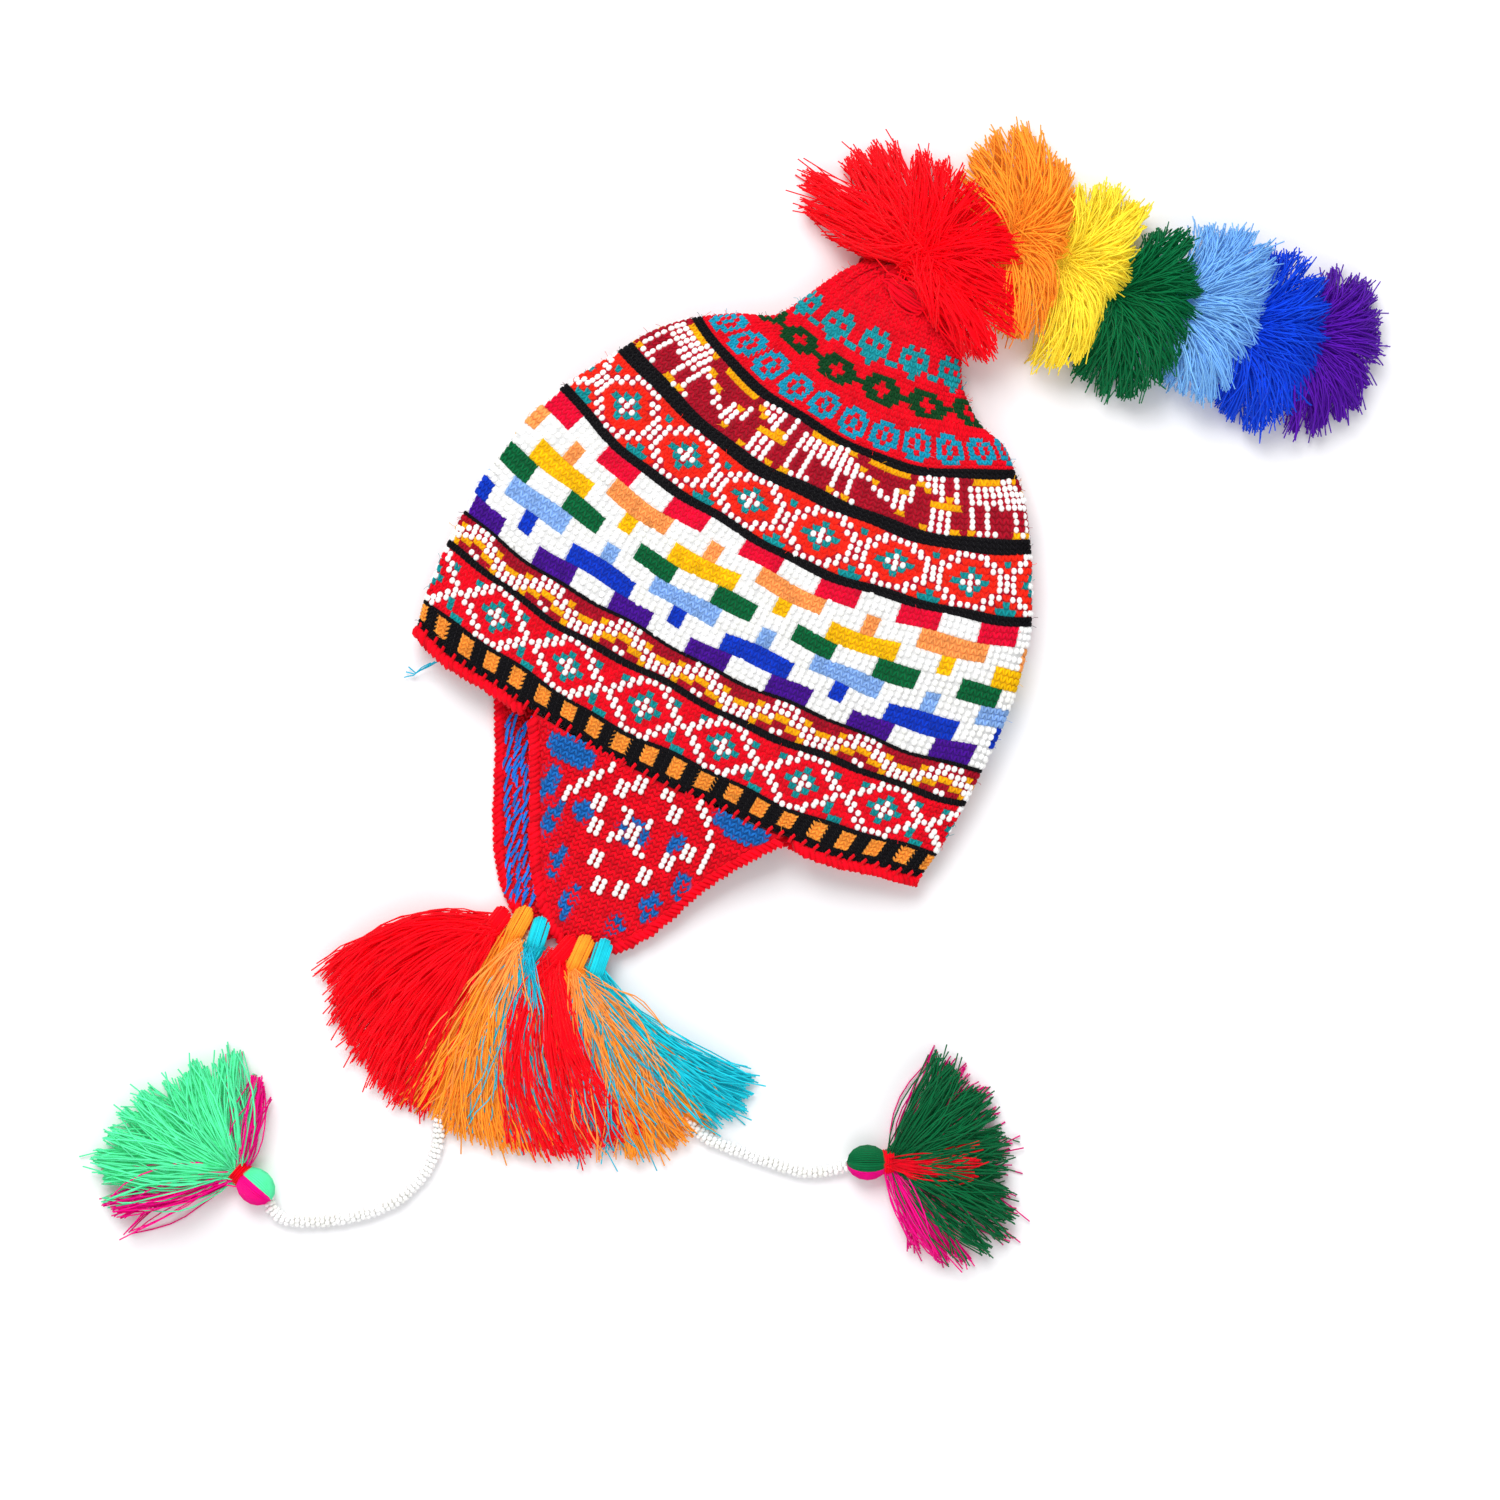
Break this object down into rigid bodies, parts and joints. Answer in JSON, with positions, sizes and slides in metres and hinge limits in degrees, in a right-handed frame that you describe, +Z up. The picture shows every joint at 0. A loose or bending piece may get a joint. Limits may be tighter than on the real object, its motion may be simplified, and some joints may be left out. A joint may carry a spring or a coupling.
{
  "type": "chullo hat",
  "caption": "Knitted and beaded Andean earflap hat lying flat, with a row of yarn pompoms at the tip, tassels at the flaps and beaded ropes that end in tassels.",
  "frame": {"origin": "middle of the hem's chord, on the flat underside of the far wall, which lies on the ground", "axes": "+X along the hem to the right, +Y from the hem to the crown's tip, +Z up from the ground through the near wall"},
  "size_m": [0.3847, 0.6352, 0.0422],
  "materials": {
    "knit": "acrylic yarn knitted in bands of colour",
    "flap_knit": "acrylic yarn, knitted with blue floats on the inside",
    "edging": "crocheted acrylic yarn",
    "beads": "opaque white seed beads",
    "yarn_red": "loose acrylic yarn, cut at the ends",
    "yarn_orange": "loose acrylic yarn, cut at the ends",
    "yarn_turquoise": "loose acrylic yarn, cut at the ends",
    "yarn_mint": "loose acrylic yarn, cut at the ends",
    "yarn_green": "loose acrylic yarn, cut at the ends",
    "yarn_yellow": "loose acrylic yarn, cut at the ends",
    "yarn_light_blue": "loose acrylic yarn, cut at the ends",
    "yarn_royal_blue": "loose acrylic yarn, cut at the ends",
    "yarn_purple": "loose acrylic yarn, cut at the ends"
  },
  "bodies": {
    "root": {"crown": "knit", "near_ear_flap": "flap_knit", "far_ear_flap": "flap_knit", "near_flap_binding": "edging", "far_flap_binding": "edging", "hem_binding_left": "edging", "hem_binding_right": "edging", "near_bead_rope": "beads", "far_bead_rope": "beads", "near_end_tassel": "yarn_green", "far_end_tassel": "yarn_mint", "pompom_red": "yarn_red", "pompom_orange": "yarn_orange", "pompom_yellow": "yarn_yellow", "pompom_green": "yarn_green", "pompom_light_blue": "yarn_light_blue", "pompom_royal_blue": "yarn_royal_blue", "pompom_purple": "yarn_purple", "near_tassel_red": "yarn_red", "near_tassel_orange": "yarn_orange", "near_tassel_turquoise": "yarn_turquoise", "far_tassel_red": "yarn_red", "far_tassel_orange": "yarn_orange", "far_tassel_turquoise": "yarn_turquoise"}
  },
  "joints": []
}
